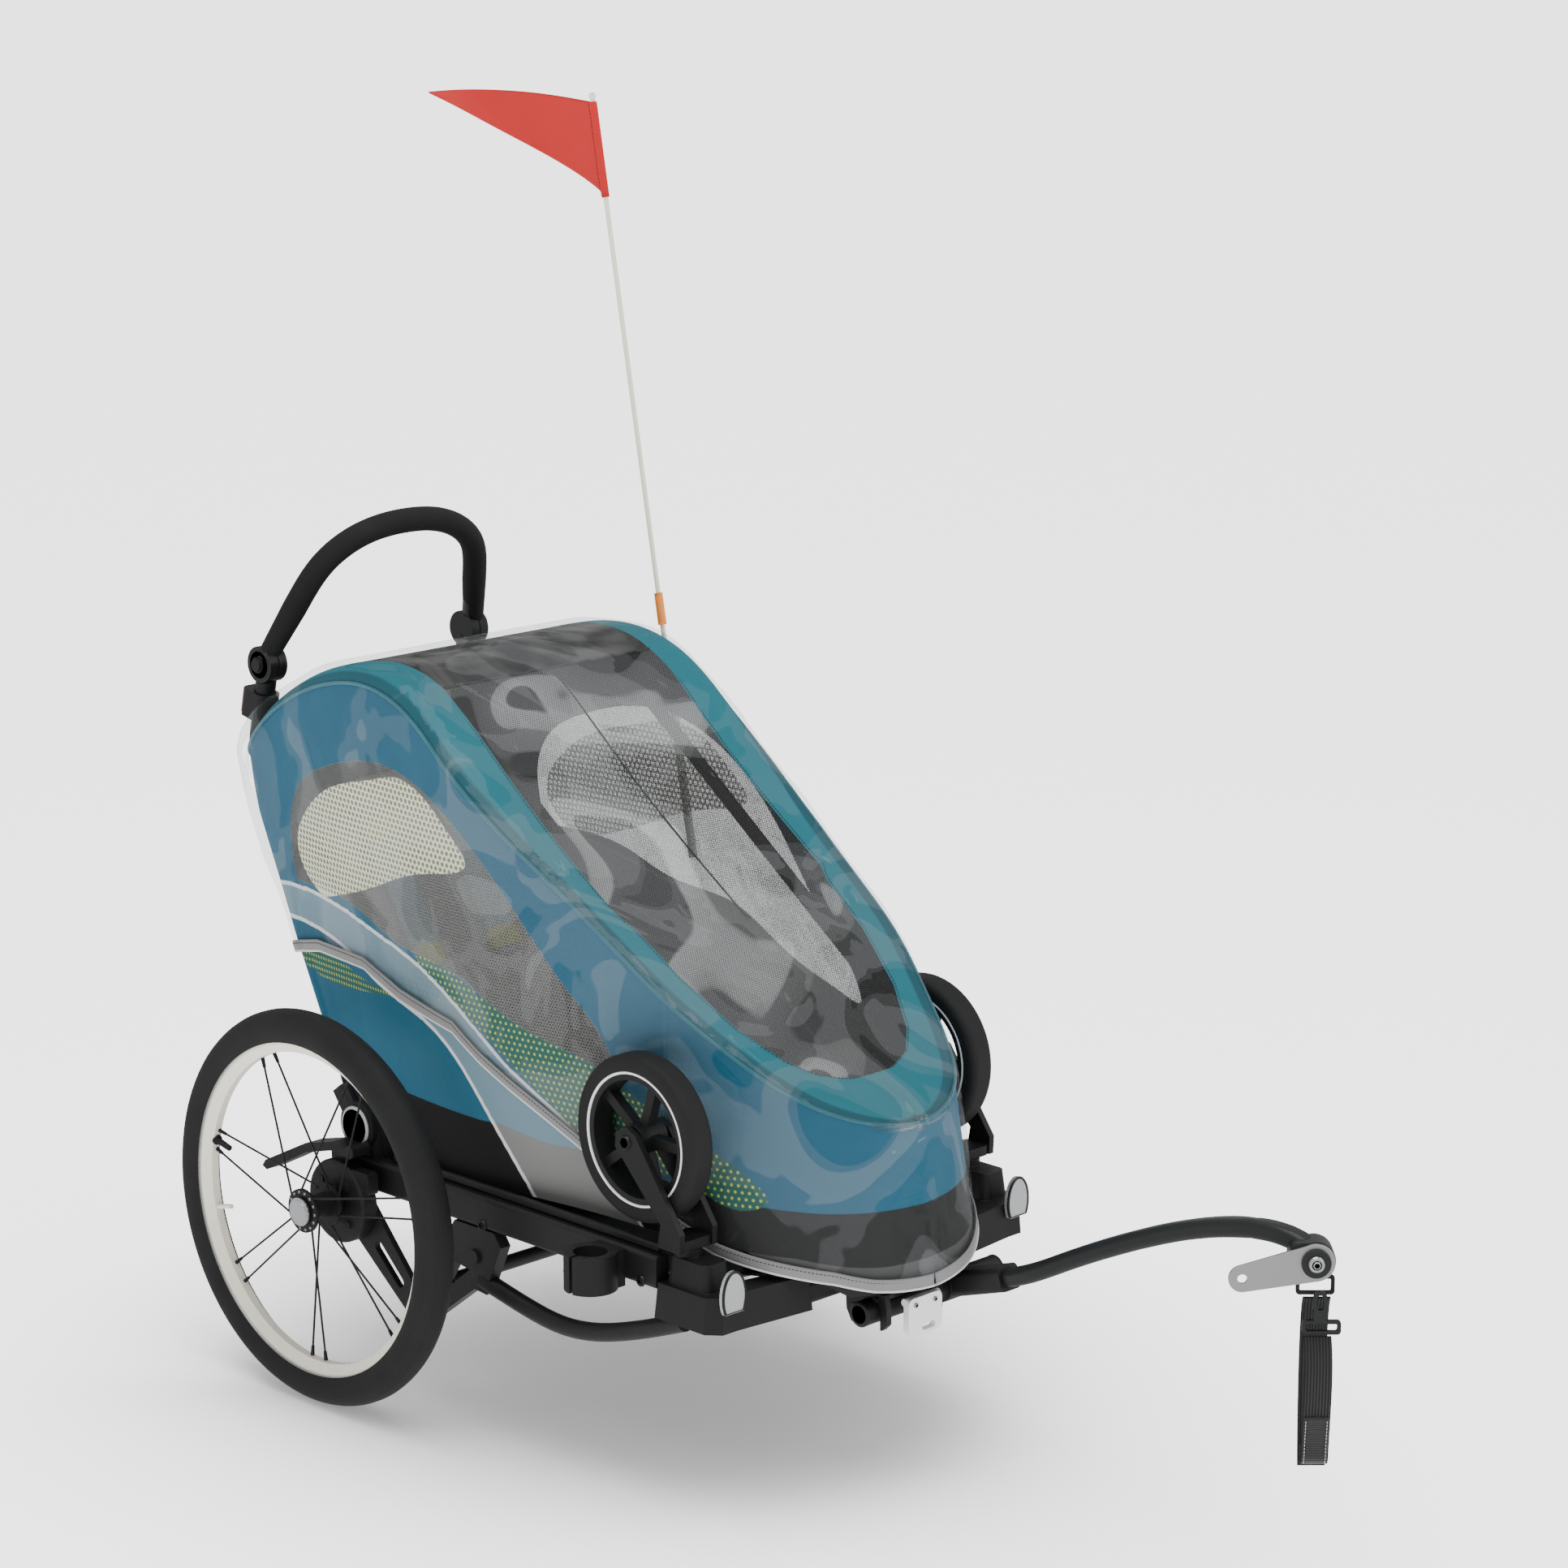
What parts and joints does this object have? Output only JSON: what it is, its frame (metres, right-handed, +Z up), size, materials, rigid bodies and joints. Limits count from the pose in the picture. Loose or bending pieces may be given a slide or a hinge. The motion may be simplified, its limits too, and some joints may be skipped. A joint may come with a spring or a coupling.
{
  "type": "child bicycle trailer",
  "caption": "Enclosed fabric cabin for carrying a child, on large spoked rear wheels, with a side towing arm, folding push frame, stowed stroller wheels and a safety flag",
  "frame": {"origin": "centre of the overall bounding box, on the ground", "axes": "+X forward to the towing arm, +Y left, +Z up"},
  "size_m": [1.6274, 0.6968, 1.5374],
  "materials": {
    "tyre_rubber": "matt grey-black",
    "rim_cream": "cream enamel",
    "hub_metal": "satin",
    "frame_black": "matt powder coat",
    "black_plastic": "moulded",
    "grey_metal": "dark grey coat",
    "steel": "zinc plated",
    "blue_fabric": "woven",
    "grey_fabric": "woven",
    "black_fabric": "woven",
    "seat_fabric": "padded",
    "harness_fabric": "padded",
    "webbing": "ribbed webbing",
    "clear_film": "clear flexible film",
    "clear_reflector": "prismatic",
    "foam": "foam",
    "white_plastic": "moulded",
    "pole_white": "glass fibre rod",
    "flag_red": "coated cloth"
  },
  "bodies": {
    "chassis": {"side_rails": "frame_black", "lower_tubes": "frame_black", "front_crossbar": "black_plastic", "floor_pan": "frame_black", "axle_brackets": "frame_black", "roll_bar_feet": "black_plastic", "tow_cradle": "frame_black", "fabric_tracks": "black_plastic", "accessory_clamp": "black_plastic", "flag_pocket": "black_plastic", "front_reflectors": "clear_reflector", "side_reflectors": "black_plastic", "side_panel_left": "blue_fabric", "side_panel_right": "blue_fabric", "front_panel": "grey_fabric", "deck": "blue_fabric", "rear_panel": "blue_fabric", "rain_cover": "clear_film", "seat_back": "seat_fabric", "seat_base": "seat_fabric", "harness_pads": "harness_fabric", "harness_buckle": "black_plastic"},
    "push_frame": {"push_frame": "frame_black"},
    "roll_bar": {"roll_bar": "frame_black"},
    "handle": {"handlebar": "frame_black", "handle_grip": "foam"},
    "brake_pedal": {"brake_pedal": "black_plastic"},
    "drawbar": {"tow_sleeve": "black_plastic", "tow_arm": "grey_metal", "strap_ring": "black_plastic"},
    "release_lever": {"release_lever": "white_plastic"},
    "hitch": {"hitch_plate": "steel"},
    "strap": {"safety_strap": "webbing", "snap_hook": "grey_metal"},
    "flag": {"flag_pole": "pole_white", "pennant": "flag_red"},
    "suspension_right": {"swing_arm_right": "black_plastic", "brake_drum_right": "black_plastic"},
    "wheel_right": {"tyre_right": "tyre_rubber", "rim_right": "rim_cream", "hub_right": "hub_metal", "spokes_right": "hub_metal"},
    "axle_cap_right": {"axle_cap_right": "hub_metal"},
    "caster_right": {"caster_fork_right": "black_plastic"},
    "caster_wheel_right": {"caster_rim_right": "black_plastic", "caster_tyre_right": "tyre_rubber"},
    "button_right": {"adjuster_button_right": "black_plastic"},
    "slider_right": {"fold_slider_right": "black_plastic"},
    "suspension_left": {"swing_arm_left": "black_plastic", "brake_drum_left": "black_plastic"},
    "wheel_left": {"tyre_left": "tyre_rubber", "rim_left": "rim_cream", "hub_left": "hub_metal", "spokes_left": "hub_metal"},
    "axle_cap_left": {"axle_cap_left": "hub_metal"},
    "caster_left": {"caster_fork_left": "black_plastic"},
    "caster_wheel_left": {"caster_rim_left": "black_plastic", "caster_tyre_left": "tyre_rubber"},
    "button_left": {"adjuster_button_left": "black_plastic"},
    "slider_left": {"fold_slider_left": "black_plastic"}
  },
  "joints": [
    {"name": "fold", "type": "hinge", "parent": "chassis", "child": "push_frame", "pos_m": [-0.4188, 0, 0.285], "axis": [0, 1, 0], "range_deg": [0, 88], "deforming": ["side_panel_left", "side_panel_right", "front_panel", "deck", "rear_panel", "rain_cover", "seat_back", "seat_base", "harness_pads"]},
    {"name": "roll_bar_fold", "type": "hinge", "parent": "chassis", "child": "roll_bar", "pos_m": [0.1812, 0, 0.292], "axis": [0, -1, 0], "range_deg": [0, 41]},
    {"name": "handle_tilt", "type": "hinge", "parent": "push_frame", "child": "handle", "pos_m": [-0.6618, 0, 0.8505], "axis": [0, 1, 0], "range_deg": [-100, 20]},
    {"name": "suspension_right", "type": "hinge", "parent": "chassis", "child": "suspension_right", "pos_m": [-0.2778, -0.263, 0.132], "axis": [0, 1, 0], "range_deg": [0, 8], "stiffness_Nm_per_rad": 130, "springref_deg": -8.59},
    {"name": "wheel_spin_right", "type": "hinge", "parent": "suspension_right", "child": "wheel_right", "pos_m": [-0.3988, -0.323, 0.244], "axis": [0, 1, 0], "continuous": true},
    {"name": "axle_cap_pull_right", "type": "slide", "parent": "wheel_right", "child": "axle_cap_right", "axis": [0, -1, 0], "range_m": [0, 0.06]},
    {"name": "caster_lift_right", "type": "slide", "parent": "chassis", "child": "caster_right", "axis": [0, 0, 1], "range_m": [0, 0.09]},
    {"name": "caster_spin_right", "type": "hinge", "parent": "caster_right", "child": "caster_wheel_right", "pos_m": [0.0852, -0.231, 0.422], "axis": [0, 1, 0], "continuous": true},
    {"name": "button_press_right", "type": "slide", "parent": "handle", "child": "button_right", "axis": [0, 1, 0], "range_m": [0, 0.0035], "stiffness_N_per_m": 400, "springref_m": -0.005},
    {"name": "fold_catch_right", "type": "slide", "parent": "push_frame", "child": "slider_right", "axis": [0.2115, 0, 0.9774], "range_m": [0, 0.012]},
    {"name": "suspension_left", "type": "hinge", "parent": "chassis", "child": "suspension_left", "pos_m": [-0.2778, 0.263, 0.132], "axis": [0, 1, 0], "range_deg": [0, 8], "stiffness_Nm_per_rad": 130, "springref_deg": -8.59},
    {"name": "wheel_spin_left", "type": "hinge", "parent": "suspension_left", "child": "wheel_left", "pos_m": [-0.3988, 0.323, 0.244], "axis": [0, 1, 0], "continuous": true},
    {"name": "axle_cap_pull_left", "type": "slide", "parent": "wheel_left", "child": "axle_cap_left", "axis": [0, 1, 0], "range_m": [0, 0.06]},
    {"name": "caster_lift_left", "type": "slide", "parent": "chassis", "child": "caster_left", "axis": [0, 0, 1], "range_m": [0, 0.09]},
    {"name": "caster_spin_left", "type": "hinge", "parent": "caster_left", "child": "caster_wheel_left", "pos_m": [0.0852, 0.231, 0.422], "axis": [0, 1, 0], "continuous": true},
    {"name": "button_press_left", "type": "slide", "parent": "handle", "child": "button_left", "axis": [0, -1, 0], "range_m": [0, 0.0035], "stiffness_N_per_m": 400, "springref_m": -0.005},
    {"name": "fold_catch_left", "type": "slide", "parent": "push_frame", "child": "slider_left", "axis": [0.2115, 0, 0.9774], "range_m": [0, 0.012]},
    {"name": "brake_press", "type": "hinge", "parent": "suspension_right", "child": "brake_pedal", "pos_m": [-0.3728, -0.275, 0.311], "axis": [0, -1, 0], "range_deg": [0, 10]},
    {"name": "drawbar_drop", "type": "slide", "parent": "chassis", "child": "drawbar", "axis": [0, 0, -1], "range_m": [0, 0.09]},
    {"name": "lever_release", "type": "hinge", "parent": "chassis", "child": "release_lever", "pos_m": [0.2822, 0, 0.217], "axis": [0, -1, 0], "range_deg": [0, 35], "stiffness_Nm_per_rad": 0.4, "springref_deg": -17.19},
    {"name": "hitch_swing", "type": "hinge", "parent": "drawbar", "child": "hitch", "pos_m": [0.7812, 0.104, 0.368], "axis": [0.7071, -0.7071, 0], "range_deg": [-15, 15]},
    {"name": "strap_swing", "type": "hinge", "parent": "drawbar", "child": "strap", "pos_m": [0.7812, 0.104, 0.324], "axis": [0.7071, 0.7071, 0], "range_deg": [-6, 6]},
    {"name": "flag_pull", "type": "slide", "parent": "chassis", "child": "flag", "axis": [-0.1823, 0, 0.9832], "range_m": [0, 0.272]}
  ],
  "couplings": [
    {"joint": "roll_bar_fold", "follows": "fold", "ratio": 0.45455}
  ]
}
